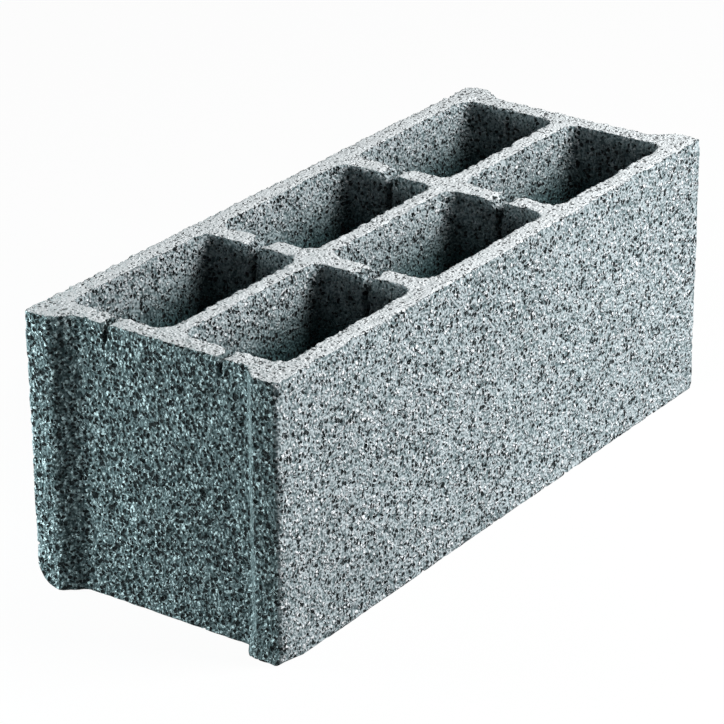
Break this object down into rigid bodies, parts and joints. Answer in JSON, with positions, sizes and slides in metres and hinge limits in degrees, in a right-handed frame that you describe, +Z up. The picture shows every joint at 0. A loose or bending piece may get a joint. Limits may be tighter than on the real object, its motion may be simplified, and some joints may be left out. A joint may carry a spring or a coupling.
{
  "type": "hollow concrete block",
  "caption": "Hollow concrete building block with rows of open upright cells, slits across its webs and a wide mortar recess between lips in each end, laid in mortar to build walls.",
  "frame": {"origin": "centre of the bottom face, on the floor", "axes": "+X along the length, away from the end whose wall has the slits, +Y across the width, +Z up through the open cells"},
  "size_m": [0.495, 0.195, 0.19],
  "materials": {
    "concrete": "rough, open-grained"
  },
  "bodies": {
    "root": {"concrete_block": "concrete"}
  },
  "joints": []
}
